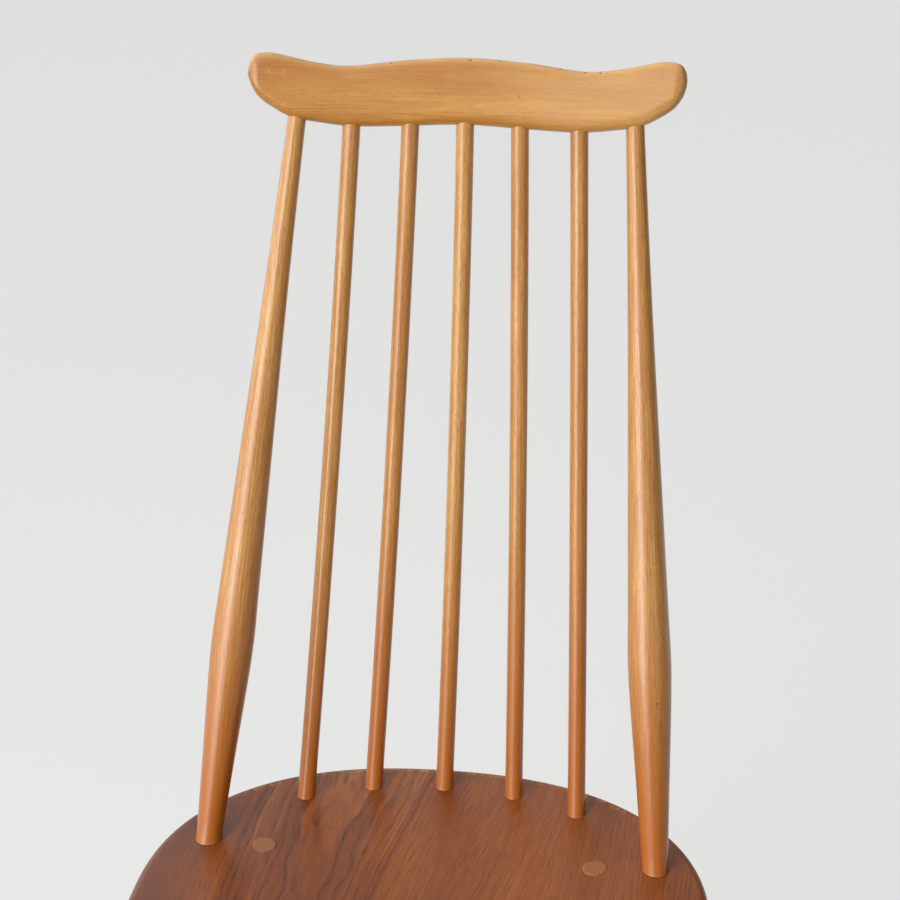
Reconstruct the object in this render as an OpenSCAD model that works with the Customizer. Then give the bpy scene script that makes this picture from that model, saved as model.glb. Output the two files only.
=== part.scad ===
// Spindle back dining chair: a shaped solid seat, two turned back posts and five
// bent spindles under a curved crest rail, four turned legs and an H of stretchers.
// +X is the chair's left to right, -Y its front, +Z up. Z is 0 on the floor.

/* [Seat] */
// Width of the seat at its widest
seat_w = 408; // [330:1:500]
// Depth of the seat from its front edge to its back edge
seat_d = 402; // [330:1:490]
// Depth of the rounder back part of the seat outline
seat_back_d = 178; // [120:1:220]
// Thickness of the seat board
seat_t = 34; // [27:1:45]
// Height of the seat's top at its front edge
seat_h = 445; // [370:1:540]
// Fall of the seat towards the back, in degrees
seat_fall = 3; // [0:0.5:5]
// Depth of the shallow dish in the seat
dish_depth = 7; // [0:0.5:9]
// Flat rim between the dish and the seat's edge
dish_rim = 34; // [25:1:60]
// Rounding of the seat's top edge
seat_top_round = 7; // [3:0.5:10]
// Rounding of the seat's lower edge
seat_low_round = 14; // [6:0.5:16]

/* [Back] */
// Height of the crest's underside above the seat at the middle spindle
back_h = 480; // [380:1:580]
// How far the crest's underside stands behind the middle spindle's foot
back_lean = 151; // [100:1:180]
// Diameter of the spindles
spindle_d = 13.3; // [9:0.1:15]
// Backward bow of the middle spindle at half its height
middle_bow = 12; // [3:0.5:20]
// Backward bow of the outermost spindles at half their height
outer_bow = 10; // [3:0.5:20]
// Distance of the spindle feet from the seat's back edge
foot_inset = 27; // [20:1:34]
// Distance of the post feet from the seat's side edge
post_inset = 40; // [32:1:50]
// Diameter of the posts at the seat
post_foot_d = 19; // [14:0.5:22]
// Diameter of the posts at their thickest
post_belly_d = 31.4; // [24:0.1:36]
// Diameter of the posts at the crest
post_top_d = 13.7; // [10:0.1:15]
// Depth of the sockets in the seat
seat_socket = 22; // [12:1:23]

/* [Crest rail] */
// Length of the crest rail from tip to tip
crest_l = 321; // [260:1:400]
// Height of the crest rail at its middle
crest_h = 48; // [38:1:60]
// Thickness of the crest rail
crest_t = 20; // [18:0.5:24]
// Backward lean of the crest rail, in degrees
crest_lean = 19; // [12:0.5:24]
// Radius of the crest rail's curve seen from above
crest_curve = 1300; // [900:10:3000]
// Rounding of the crest rail's long edges
crest_round = 6; // [3:0.5:8]
// Distance of the post tops from the crest rail's tips
post_top_inset = 36; // [30:1:50]
// Depth of the sockets in the crest rail
crest_socket = 16; // [10:1:18]

/* [Legs] */
// Diameter of the leg's neck, which goes through the seat
leg_neck_d = 17.5; // [14:0.5:21]
// Diameter of the legs at their thickest
leg_belly_d = 34; // [30:0.5:40]
// Diameter of the legs at the floor
leg_foot_d = 21; // [17:0.5:26]
// Distance of the rear leg necks from the seat's side edge
rear_leg_side = 83; // [70:1:90]
// Distance of the rear leg necks from the seat's back edge
rear_leg_back = 121; // [105:1:140]
// Outward reach of the rear legs, from neck to floor
rear_splay = 64; // [30:1:85]
// Backward reach of the rear legs, from neck to floor
rear_rake = 134; // [80:1:160]
// Distance of the front leg necks from the seat's side edge
front_leg_side = 58; // [50:1:80]
// Distance of the front leg necks from the seat's front edge
front_leg_front = 62; // [50:1:80]
// Outward reach of the front legs, from neck to floor
front_splay = 40; // [15:1:55]
// Forward reach of the front legs, from neck to floor
front_rake = 50; // [20:1:80]

/* [Stretchers] */
// Height of the side stretchers at the front legs
stretcher_front_z = 196; // [150:1:230]
// Height of the side stretchers at the rear legs
stretcher_rear_z = 178; // [140:1:230]
// Diameter of the stretchers where they enter the legs
stretcher_end_d = 13; // [10:0.5:15]
// Diameter of the stretchers at their thickest
stretcher_belly_d = 23; // [20:0.5:26]
// How far short of the other piece's axis a stretcher's end stops
stretcher_stop = 3; // [2.5:0.5:5]

/* [Joints] */
// Gap around every stick in its socket
glue_gap = 0.1; // [0.05:0.05:0.3]
// Gap between a stick's end and the bottom of its socket
end_gap = 0.5; // [0.3:0.1:1]

/* [Hidden] */

beech = "#c88f50";
elm = "#8c523e";
// Facets of round pieces, and of the long shallow bend of a spindle.
round_fn = 64;
bend_fn = 2400;

// The outline's roundness: 2 is an ellipse, more is squarer.
back_round = 2.3;
front_round = 3;
foot_round = 2.1;
// How far out the spindles stand, as shares of the posts' own distance.
foot_share = [0, 0.33, 0.63, 1];
top_share = [0, 0.325, 0.675, 1];
left = -1;
right = 1;
// Straight stretch of a stick next to its socket, on the outside.
collar = 7;
// Straight stretch of a leg's neck below the seat.
neck_below = 12;
// How far a leg is made too long before its two ends are cut.
leg_spare = 12;
// Straight stretch of a leg just above the floor.
leg_toe = 9;
// Distance from a stretcher's axis crossing to where it starts to swell.
stretcher_plain = 28;
// Steps of the curves.
turn_steps = 3;
swell_steps = 6;
corner_steps = 4;
seat_steps = 96;
dish_steps = 10;

// Lengths in Y are laid out from the seat's back edge, and y_middle then puts
// the origin under the middle of the whole chair.
crest_back = -foot_inset + back_lean + crest_h * sin(crest_lean) + crest_t / 2 * cos(crest_lean);
front_reach = -seat_d + min(0, front_leg_front - front_rake - leg_foot_d / 2);
y_middle = (crest_back + front_reach) / 2;
seat_back_y = -y_middle;
seat_front_y = seat_back_y - seat_d;
seat_mid_y = seat_back_y - seat_back_d;
seat_front_d = seat_d - seat_back_d;
seat_half = seat_w / 2;

function seat_z(y) = seat_h - (y - seat_front_y) * tan(seat_fall);

// ---- Seat outline -------------------------------------------------------

function outline_b(a) = sin(a) >= 0 ? seat_back_d : seat_front_d;
function outline_n(a) = sin(a) >= 0 ? back_round : front_round;
function outline_r(a) = pow(
    pow(abs(cos(a)) / seat_half, outline_n(a)) + pow(abs(sin(a)) / outline_b(a), outline_n(a)),
    -1 / outline_n(a));
function outline_point(a) = outline_r(a) * [cos(a), sin(a)];
function unit(v) = v / norm(v);
function outline_normal(a) = let (p = outline_point(a), n = outline_n(a), b = outline_b(a))
    unit([sign(p.x) * pow(abs(p.x) / seat_half, n - 1) / seat_half,
          sign(p.y) * pow(abs(p.y) / b, n - 1) / b]);

// The dish is an oval bowl that runs out level at its rim.
dish_half_w = seat_half - dish_rim;
dish_half_d = seat_d / 2 - dish_rim;
dish_y = (seat_front_y + seat_back_y) / 2;
function dish(x, y) = let (q = pow(x / dish_half_w, 2) + pow((y - dish_y) / dish_half_d, 2))
    dish_depth * pow(max(0, 1 - q), 2);

// ---- Stick feet and tops ------------------------------------------------

foot_half = seat_half - foot_inset;
foot_depth = seat_back_d - foot_inset;
post_foot_x = seat_half - post_inset;
post_top_x = crest_l / 2 - post_top_inset;
function foot_y(x) = seat_mid_y
    + foot_depth * pow(1 - pow(abs(x) / foot_half, foot_round), 1 / foot_round);
function stick_foot(k, side) = let (x = side * foot_share[k] * post_foot_x)
    [x, foot_y(x), seat_z(foot_y(x))];

// ---- Crest rail ---------------------------------------------------------

// Pairs of points across the crest, from the middle out to the tip. Each row
// is top x, top s, bottom x, bottom s: x in half lengths, s in crest heights.
crest_rows = [
    [0.000, 1.000, 0.000, 0.000],
    [0.285, 0.946, 0.275, -0.038],
    [0.535, 0.854, 0.510, -0.056],
    [0.698, 0.908, 0.673, 0.000],
    [0.816, 0.998, 0.798, 0.079],
    [0.903, 1.052, 0.885, 0.229],
    [0.966, 1.027, 0.947, 0.379],
    [0.994, 0.917, 0.984, 0.552],
    [1.000, 0.790, 0.998, 0.700]];
crest_rows_n = len(crest_rows) - 1;
crest_steps = 4;
crest_y = foot_y(0) + back_lean;
crest_z = seat_z(foot_y(0)) + back_h;

// A row past either end of the list repeats the end, or mirrors about the middle.
function crest_row(k) = k < 0
    ? [-crest_rows[-k][0], crest_rows[-k][1], -crest_rows[-k][2], crest_rows[-k][3]]
    : crest_rows[min(k, crest_rows_n)];
function spline(a, b, c, d, t) = 0.5 * (2 * b + (c - a) * t
    + (2 * a - 5 * b + 4 * c - d) * t * t + (3 * b - a - 3 * c + d) * t * t * t);
function crest_row_at(u) = let (k = min(floor(u), crest_rows_n - 1))
    spline(crest_row(k - 1), crest_row(k), crest_row(k + 1), crest_row(k + 2), u - k);
function crest_pair(u) = let (r = crest_row_at(abs(u)), side = u < 0 ? -1 : 1)
    [[side * r[0] * crest_l / 2, r[1] * crest_h], [side * r[2] * crest_l / 2, r[3] * crest_h]];
// A point of the crest: x along it, s up its face, v through its thickness.
function crest_point(x, s, v) = [x,
    crest_y + s * sin(crest_lean) + v * cos(crest_lean) - x * x / (2 * crest_curve),
    crest_z + s * cos(crest_lean) - v * sin(crest_lean)];
crest_under = [for (i = [0 : crest_rows_n * crest_steps])
    let (p = crest_pair(i / crest_steps)[1]) [p.x, p.y]];
function stick_top(k, side) = let (x = top_share[k] * post_top_x)
    crest_point(side * x, lookup(x, crest_under), 0);

// ---- Shared shapes ------------------------------------------------------

function total(list, i = 0) = i == len(list) - 1 ? list[i] : list[i] + total(list, i + 1);

// Closed skin over a stack of rings with the same number of points each.
// Seen from the first ring towards the last, every ring runs anticlockwise.
module skin(rings) {
    n = len(rings[0]);
    last = len(rings) - 1;
    points = concat([for (ring = rings) each ring], [total(rings[0]) / n, total(rings[last]) / n]);
    first_cap = [for (j = [0 : n - 1]) [(last + 1) * n, (j + 1) % n, j]];
    sides = [for (i = [0 : last - 1], j = [0 : n - 1])
        let (a = i * n + j, b = i * n + (j + 1) % n)
        each [[a, b, b + n], [a, b + n, a + n]]];
    last_cap = [for (j = [0 : n - 1]) [(last + 1) * n + 1, last * n + j, last * n + (j + 1) % n]];
    polyhedron(points, concat(first_cap, sides, last_cap));
}

// Draws its children, built up +Z from 0, along the line from p towards q.
// They are turned back by as much as the line swings, so their +X stays near +X.
module along(p, q) {
    v = q - p;
    swing = atan2(v.y, v.x);
    translate(p)
        rotate([0, acos(v.z / norm(v)), swing])
            rotate([0, 0, -swing])
                children();
}

// A turned solid of the given length. Each row is a share of the length and a radius.
module turned(length, rows) {
    n = len(rows) - 1;
    row = function (k) rows[max(0, min(k, n))];
    curve = [for (k = [0 : n - 1], i = [0 : turn_steps - 1])
        spline(row(k - 1), row(k), row(k + 1), row(k + 2), i / turn_steps)];
    side = [for (p = concat(curve, [rows[n]])) [p[1], length * p[0]]];
    rotate_extrude($fn = round_fn)
        polygon(concat([[0, 0]], side, [[0, length]]));
}

// A stick of the given length between two collars, with a round end past each.
module turned_stick(foot, top, foot_r, top_r, foot_end, top_end, rows) {
    length = norm(top - foot);
    along(foot, top) {
        translate([0, 0, -foot_end])
            cylinder(r = foot_r, h = foot_end + collar, $fn = round_fn);
        translate([0, 0, collar])
            turned(length - 2 * collar, rows);
        translate([0, 0, length - collar])
            cylinder(r = top_r, h = top_end + collar, $fn = round_fn);
    }
}

// ---- Bent spindles ------------------------------------------------------

function bow(k) = middle_bow + (outer_bow - middle_bow) * pow(k / 2, 2);
function bend_radius(chord, sag) = (chord * chord / 4 + sag * sag) / (2 * sag);
function bend_angle(chord, sag) = asin(chord / 2 / bend_radius(chord, sag));
function arc_angle(length, radius) = length / radius * 180 / PI;

// Puts +X along the bow, +Y up the chord and the origin at the chord's middle.
module bend_frame(foot, top) {
    w = unit(top - foot);
    u = unit([0, 1, 0] - w.y * w);
    n = cross(u, w);
    m = (foot + top) / 2;
    multmatrix([
        [u.x, w.x, n.x, m.x],
        [u.y, w.y, n.y, m.y],
        [u.z, w.z, n.z, m.z],
        [0, 0, 0, 1]])
        children();
}

// Turns about the bend's centre to the point of the arc at angle a.
module on_bend(bend, sag, a) {
    translate([sag - bend, 0, 0])
        rotate([0, 0, a])
            translate([bend, 0, 0])
                children();
}

// A straight hole that follows the end of the bend as it would be at mid depth.
module bend_socket(chord, sag, side, depth) {
    bend = bend_radius(chord, sag);
    a = bend_angle(chord, sag) + arc_angle(depth / 2, bend);
    on_bend(bend, sag, side * a)
        rotate([side * -90, 0, 0])
            translate([0, 0, -depth / 2 - collar])
                cylinder(r = spindle_d / 2 + glue_gap, h = depth + collar + end_gap, $fn = round_fn);
}

module spindle_sockets(k, side) {
    foot = stick_foot(k, side);
    top = stick_top(k, side);
    chord = norm(top - foot);
    bend_frame(foot, top) {
        bend_socket(chord, bow(k), -1, seat_socket);
        bend_socket(chord, bow(k), 1, crest_socket);
    }
}

// A spindle is one bent round stick, whose two ends run on into the sockets.
module spindle(number) {
    k = abs(number - 3);
    side = sign(number - 3);
    foot = stick_foot(k, side);
    top = stick_top(k, side);
    chord = norm(top - foot);
    bend = bend_radius(chord, bow(k));
    low = bend_angle(chord, bow(k)) + arc_angle(seat_socket, bend);
    high = bend_angle(chord, bow(k)) + arc_angle(crest_socket, bend);
    color(beech) bend_frame(foot, top)
        translate([bow(k) - bend, 0, 0])
            rotate([0, 0, -low])
                rotate_extrude(angle = low + high, $fn = bend_fn)
                    translate([bend, 0])
                        circle(r = spindle_d / 2, $fn = round_fn);
}

// ---- Back posts ---------------------------------------------------------

module back_post(side) {
    foot_r = post_foot_d / 2;
    belly = post_belly_d / 2;
    top_r = post_top_d / 2;
    color(beech)
        turned_stick(stick_foot(3, side), stick_top(3, side), foot_r, top_r,
            seat_socket, crest_socket, [
            [0.00, foot_r],
            [0.10, foot_r + 0.40 * (belly - foot_r)],
            [0.20, foot_r + 0.82 * (belly - foot_r)],
            [0.27, belly],
            [0.34, top_r + 0.89 * (belly - top_r)],
            [0.50, top_r + 0.64 * (belly - top_r)],
            [0.78, top_r + 0.22 * (belly - top_r)],
            [1.00, top_r]]);
}

module back_post_sockets(side) {
    foot = stick_foot(3, side);
    top = stick_top(3, side);
    along(foot, 2 * foot - top)
        translate([0, 0, -collar])
            cylinder(r = post_foot_d / 2 + glue_gap, h = collar + seat_socket + end_gap, $fn = round_fn);
    along(top, 2 * top - foot)
        translate([0, 0, -collar])
            cylinder(r = post_top_d / 2 + glue_gap, h = collar + crest_socket + end_gap, $fn = round_fn);
}

module stick_sockets() {
    for (side = [left, right]) {
        back_post_sockets(side);
        spindle_sockets(1, side);
        spindle_sockets(2, side);
    }
    spindle_sockets(0, right);
}

// ---- Crest rail ---------------------------------------------------------

// The tips are rounded in thickness as far in as the long edges are.
function crest_half_t(x) = let (d = min(crest_round, crest_l / 2 - abs(x)))
    crest_t / 2 - crest_round + sqrt(pow(crest_round, 2) - pow(crest_round - d, 2));

// A rounded rectangle between the crest's lower and upper edge, front face first.
function crest_ring(u) = let (
    pair = crest_pair(u),
    height = norm(pair[0] - pair[1]),
    half = crest_half_t((pair[0].x + pair[1].x) / 2),
    r = min(crest_round, height / 2, half))
    [for (corner = [0 : 3], i = [0 : corner_steps]) let (
        a = 270 - 90 * corner - 90 * i / corner_steps,
        v = (corner < 2 ? r - half : half - r) + r * cos(a),
        h = (corner == 0 || corner == 3 ? r : height - r) + r * sin(a),
        p = pair[1] + (pair[0] - pair[1]) * h / height)
        crest_point(p.x, p.y, v)];

module crest_rail() {
    span = crest_rows_n * crest_steps;
    color(beech) difference() {
        skin([for (i = [-span : span]) crest_ring(i / crest_steps)]);
        stick_sockets();
    }
}

// ---- Seat ---------------------------------------------------------------

// A ring of the seat: its outline moved in by inset, drawn to share, dropped.
function seat_ring(share, inset, drop, dished) = [for (j = [0 : seat_steps - 1]) let (
    a = 360 * j / seat_steps,
    p = (outline_point(a) - inset * outline_normal(a)) * share,
    x = p.x,
    y = p.y + seat_mid_y)
    [x, y, seat_z(y) - drop - (dished ? dish(x, y) : 0)]];

module seat_board() {
    top = [for (i = [1 : dish_steps])
        seat_ring(i / dish_steps, seat_top_round, 0, true)];
    top_edge = [for (i = [1 : corner_steps]) let (a = 90 * i / corner_steps)
        seat_ring(1, seat_top_round * (1 - sin(a)), seat_top_round * (1 - cos(a)), false)];
    low_edge = [for (i = [0 : corner_steps]) let (a = 90 * i / corner_steps)
        seat_ring(1, seat_low_round * (1 - cos(a)), seat_t - seat_low_round * (1 - sin(a)), false)];
    bottom = [seat_ring(0.5, seat_low_round, seat_t, false)];
    skin(concat(top, top_edge, low_edge, bottom));
}

module seat() {
    color(elm) difference() {
        seat_board();
        stick_sockets();
        for (side = [left, right])
            for (end = [front, rear])
                along(leg_foot(end, side), leg_top(end, side))
                    translate([0, 0, leg_length(end) / 2])
                        cylinder(r = leg_neck_d / 2 + glue_gap, h = leg_length(end), $fn = round_fn);
    }
}

// ---- Legs ---------------------------------------------------------------

front = 0;
rear = 1;
function leg_top(end, side) = let (
    x = seat_half - (end == front ? front_leg_side : rear_leg_side),
    y = end == front ? seat_front_y + front_leg_front : seat_back_y - rear_leg_back)
    [side * x, y, seat_z(y)];
function leg_foot(end, side) = let (top = leg_top(end, side))
    end == front
        ? [top.x + side * front_splay, top.y - front_rake, 0]
        : [top.x + side * rear_splay, top.y + rear_rake, 0];
function leg_length(end) = norm(leg_top(end, right) - leg_foot(end, right));
function leg_at(end, side, z) = let (foot = leg_foot(end, side), top = leg_top(end, side))
    foot + (top - foot) * z / top.z;

module leg(end, side) {
    foot = leg_foot(end, side);
    top = leg_top(end, side);
    length = leg_length(end);
    neck = seat_t + neck_below;
    neck_r = leg_neck_d / 2;
    belly = leg_belly_d / 2;
    foot_r = leg_foot_d / 2;
    color(beech) difference() {
        along(foot, top) {
            translate([0, 0, -leg_spare])
                cylinder(r = foot_r, h = leg_spare + leg_toe, $fn = round_fn);
            translate([0, 0, leg_toe])
                turned(length - leg_toe - neck, [
                    [0.00, foot_r],
                    [0.20, foot_r + 0.36 * (belly - foot_r)],
                    [0.40, foot_r + 0.78 * (belly - foot_r)],
                    [0.55, belly],
                    [0.68, neck_r + 0.86 * (belly - neck_r)],
                    [0.85, neck_r + 0.38 * (belly - neck_r)],
                    [1.00, neck_r]]);
            translate([0, 0, length - neck])
                cylinder(r = neck_r, h = neck + leg_spare, $fn = round_fn);
        }
        translate([foot.x, foot.y, -leg_spare])
            cube([4 * foot_r, 4 * foot_r, 2 * leg_spare], center = true);
        // The neck is cut off flush with the seat.
        translate([top.x, top.y, top.z - dish(top.x, top.y)])
            rotate([-seat_fall, 0, 0])
                translate([0, 0, leg_spare])
                    cube([4 * neck_r, 4 * neck_r, 2 * leg_spare], center = true);
        stretcher_socket(stretcher_at(end, side), stretcher_at(1 - end, side), leg_belly_d / 2);
    }
}

// ---- Stretchers ---------------------------------------------------------

function stretcher_at(end, side) =
    leg_at(end, side, end == front ? stretcher_front_z : stretcher_rear_z);
function stretcher_middle(side) = (stretcher_at(front, side) + stretcher_at(rear, side)) / 2;

// The hole for a stretcher that leaves p towards q, out past the wall around p.
module stretcher_socket(p, q, wall) {
    start = stretcher_stop - end_gap;
    along(p, q)
        translate([0, 0, start])
            cylinder(r = stretcher_end_d / 2 + glue_gap, h = wall + collar - start, $fn = round_fn);
}

// A stretcher between two axes, plain at its ends and swelling to its middle.
module stretcher(p, q) {
    length = norm(q - p);
    end_r = stretcher_end_d / 2;
    swell = stretcher_belly_d / 2 - end_r;
    body = length - 2 * stretcher_plain;
    along(p, q) {
        translate([0, 0, stretcher_stop])
            cylinder(r = end_r, h = stretcher_plain - stretcher_stop, $fn = round_fn);
        translate([0, 0, stretcher_plain])
            turned(body, [for (i = [0 : swell_steps])
                [i / swell_steps, end_r + swell * pow(sin(180 * i / swell_steps), 2)]]);
        translate([0, 0, length - stretcher_plain])
            cylinder(r = end_r, h = stretcher_plain - stretcher_stop, $fn = round_fn);
    }
}

module side_stretcher(side) {
    color(beech) difference() {
        stretcher(stretcher_at(front, side), stretcher_at(rear, side));
        stretcher_socket(stretcher_middle(side), stretcher_middle(-side), stretcher_belly_d / 2);
    }
}

module centre_stretcher() {
    color(beech) stretcher(stretcher_middle(left), stretcher_middle(right));
}

seat();
crest_rail();
back_post(left);  // back_post_left
back_post(right);  // back_post_right
spindle(1);  // spindle_1
spindle(2);  // spindle_2
spindle(3);  // spindle_3
spindle(4);  // spindle_4
spindle(5);  // spindle_5
leg(front, left);  // leg_front_left
leg(front, right);  // leg_front_right
leg(rear, left);  // leg_rear_left
leg(rear, right);  // leg_rear_right
side_stretcher(left);  // side_stretcher_left
side_stretcher(right);  // side_stretcher_right
centre_stretcher();
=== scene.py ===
"""Looks of a spindle back dining chair: lacquered beech sticks and crest, stained elm seat."""

import math

import bpy
import numpy as np
from mathutils import Matrix, Vector


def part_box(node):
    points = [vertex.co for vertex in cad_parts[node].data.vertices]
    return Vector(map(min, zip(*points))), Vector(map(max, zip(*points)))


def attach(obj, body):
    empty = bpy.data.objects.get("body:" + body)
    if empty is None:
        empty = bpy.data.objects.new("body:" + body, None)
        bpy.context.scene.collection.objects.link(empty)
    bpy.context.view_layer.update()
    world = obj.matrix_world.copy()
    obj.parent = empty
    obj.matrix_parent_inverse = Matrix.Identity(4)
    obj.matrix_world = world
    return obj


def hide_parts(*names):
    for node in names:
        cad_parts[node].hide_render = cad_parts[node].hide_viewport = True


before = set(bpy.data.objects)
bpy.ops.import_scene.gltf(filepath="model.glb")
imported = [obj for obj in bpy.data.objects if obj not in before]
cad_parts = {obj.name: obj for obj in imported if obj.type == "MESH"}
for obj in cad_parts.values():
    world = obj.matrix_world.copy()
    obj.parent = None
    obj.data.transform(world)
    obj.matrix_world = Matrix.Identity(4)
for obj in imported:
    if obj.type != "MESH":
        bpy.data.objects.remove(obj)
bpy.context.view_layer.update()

MM = 0.001

# ---- Names of the CAD nodes ---------------------------------------------

SPINDLES = ["spindle_1", "spindle_2", "spindle_3", "spindle_4", "spindle_5"]
POSTS = ["back_post_left", "back_post_right"]
LEGS = ["leg_front_left", "leg_front_right", "leg_rear_left", "leg_rear_right"]
STRETCHERS = ["side_stretcher_left", "side_stretcher_right", "centre_stretcher"]

# ---- Camera, as the photograph's ----------------------------------------

CAMERA_PLACE = Vector((0.1604, -1.1231, 1.3034))
CAMERA_YAW = 7.192  # degrees towards -X from looking along +Y
CAMERA_PITCH = 25.606  # degrees below the horizon
CAMERA_ROLL = -0.402
CAMERA_LENS = 77.33
SENSOR = 36.0

# ---- Shape values that the CAD model has too ----------------------------

SEAT_BACK_DEPTH = 178 * MM
SEAT_BACK_ROUND = 2.3
SEAT_FRONT_ROUND = 3.0
SEAT_THICK = 34 * MM
SEAT_FALL = math.radians(3)
SEAT_TOP_ROUND = 7 * MM
SEAT_LOW_ROUND = 14 * MM
DISH_DEPTH = 7 * MM
DISH_RIM = 34 * MM

CREST_HEIGHT = 48 * MM
CREST_THICK = 20 * MM
CREST_LEAN = math.radians(19)
CREST_CURVE = 1300 * MM
CREST_ROLL = 9.5 * MM  # the rounding as shown reaches this far into the face,
CREST_ROLL_DEPTH = 6.6 * MM  # and this deep, so it stays inside the CAD model's 6 mm arc
# Top x, top s, bottom x, bottom s, as shares of the half length and the height.
CREST_ROWS = np.array([
    [0.000, 1.000, 0.000, 0.000],
    [0.285, 0.946, 0.275, -0.038],
    [0.535, 0.854, 0.510, -0.056],
    [0.698, 0.908, 0.673, 0.000],
    [0.816, 0.998, 0.798, 0.079],
    [0.903, 1.052, 0.885, 0.229],
    [0.966, 1.027, 0.947, 0.379],
    [0.994, 0.917, 0.984, 0.552],
    [1.000, 0.790, 0.998, 0.700]])

# ---- How fine the meshes are ---------------------------------------------

ROUND_STEPS = 48  # points round a stick
STICK_STEP = 5 * MM  # length of a stick between two of its rings
SEAT_AROUND = 360  # points round the seat
SEAT_TOP_RINGS = 46
SEAT_TOP_EDGE_RINGS = 9
SEAT_LOW_EDGE_RINGS = 11
SEAT_UNDER_RINGS = 12
CREST_RINGS = 257  # from tip to tip
CREST_CORNER_STEPS = 13
CREST_FACE_STEPS = 12

# ---- Ends of the legs ----------------------------------------------------

TENON_PROUD = 0.08 * MM  # how far the leg ends stand above the seat
FOOT_WEAR = 1.2 * MM  # rounding of the legs at the floor
FOOT_CUT = 14 * MM  # length of a leg's lower end that the level cut at the floor shapes
TENON_CUT = 16 * MM  # length of its upper end that is shaped by the seat's face
# Rings of the rounding at the floor: height and loss of radius, as shares of FOOT_WEAR.
FOOT_RINGS = [(0.0, 1.0), (0.25, 0.5), (0.6, 0.22), (1.0, 0.0)]
# Rings of the end in the seat: depth below its face in mm, and share of the radius.
TENON_RINGS = [(1.0, 1.0), (0.1, 1.0), (0.0, 0.995), (0.0, 0.8), (0.0, 0.55), (0.0, 0.3), (0.0, 0.1)]

# ---- How a stick is read off its CAD node, and where in the tree it lies --

RING_GAP = 1.5 * MM  # vertices further apart than this along the axis are of two rings
RING_POINTS = 20  # a ring with fewer vertices is part of an end and is left out
AXIS_ROUNDS = 3  # times the axis of a straight stick is turned to its centre line
FIT_ROUNDS = 4  # times the centre line is fitted again without the rings that stand off it
FIT_OFF = 2.5  # a ring stands off at this many times the median distance,
FIT_CLOSE = 0.01 * MM  # and at more than this
PITH_NEAR, PITH_FAR = 0.035, 0.08  # metres from the middle of the tree
PITH_DRIFT = 0.02  # sideways run of the grain for each metre along, at most
TREE_LENGTH = 9  # metres of wood that a stick's place is drawn from
SLIDE_ROUNDS = 6  # steps in which a point slides to the height of its place
CROSS_ROUNDS = 8  # steps in which a stick's crossing with the seat is found

BACK_SEED, STRETCHER_SEED, LEG_SEED = 11, 41, 51
PLAIN_TONE = 0.3  # how dark the wood of the legs and stretchers is, from 0 to 1
# How dark each back stick is.
TONES = {"back_post_left": 0.33, "spindle_1": 0.26, "spindle_2": 0.42, "spindle_3": 0.06,
         "spindle_4": 0.34, "spindle_5": 0.44, "back_post_right": 0.34}


# ---- Meshes --------------------------------------------------------------

def skin(name, rings, grain, material, node, rim, tone=PLAIN_TONE):
    """A closed smooth skin over rings of points, with three attributes for its material: the
    wood's own coordinates, the distance from the edge or face that wears, and how dark it is."""
    count, around = rings.shape[:2]
    points = np.concatenate([rings.reshape(-1, 3), rings[0].mean(0)[None], rings[-1].mean(0)[None]])
    woods = np.concatenate([grain.reshape(-1, 3), grain[0].mean(0)[None], grain[-1].mean(0)[None]])
    faces = []
    for i in range(count - 1):
        for j in range(around):
            a, b = i * around + j, i * around + (j + 1) % around
            faces.append((a, b, b + around, a + around))
    low, high = count * around, count * around + 1
    for j in range(around):
        k = (j + 1) % around
        faces.append((low, k, j))
        faces.append((high, (count - 1) * around + j, (count - 1) * around + k))
    mesh = bpy.data.meshes.new(name)
    mesh.from_pydata(points.tolist(), [], faces)
    mesh.update()
    mesh.shade_smooth()
    attribute = mesh.attributes.new("grain", "FLOAT_VECTOR", "POINT")
    attribute.data.foreach_set("vector", np.ascontiguousarray(woods, dtype=np.float32).ravel())
    extra = np.concatenate([rim.reshape(-1), [rim[0].mean()], [rim[-1].mean()]])
    for key, values in (("rim", extra), ("tone", np.full(len(extra), tone))):
        attribute = mesh.attributes.new(key, "FLOAT", "POINT")
        attribute.data.foreach_set("value", np.ascontiguousarray(values, dtype=np.float32))
    mesh.materials.append(material)
    piece = bpy.data.objects.new(name, mesh)
    bpy.context.scene.collection.objects.link(piece)
    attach(piece, "root")
    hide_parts(node)


def cross_axes(axis):
    """Two unit vectors across an axis, the first towards +X, or +Y if the axis lies along X."""
    lead = np.array([1.0, 0, 0]) if abs(axis[0]) < 0.8 else np.array([0, 1.0, 0])
    first = lead - axis * (lead @ axis)
    first /= np.linalg.norm(first)
    return first, np.cross(axis, first)


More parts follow.
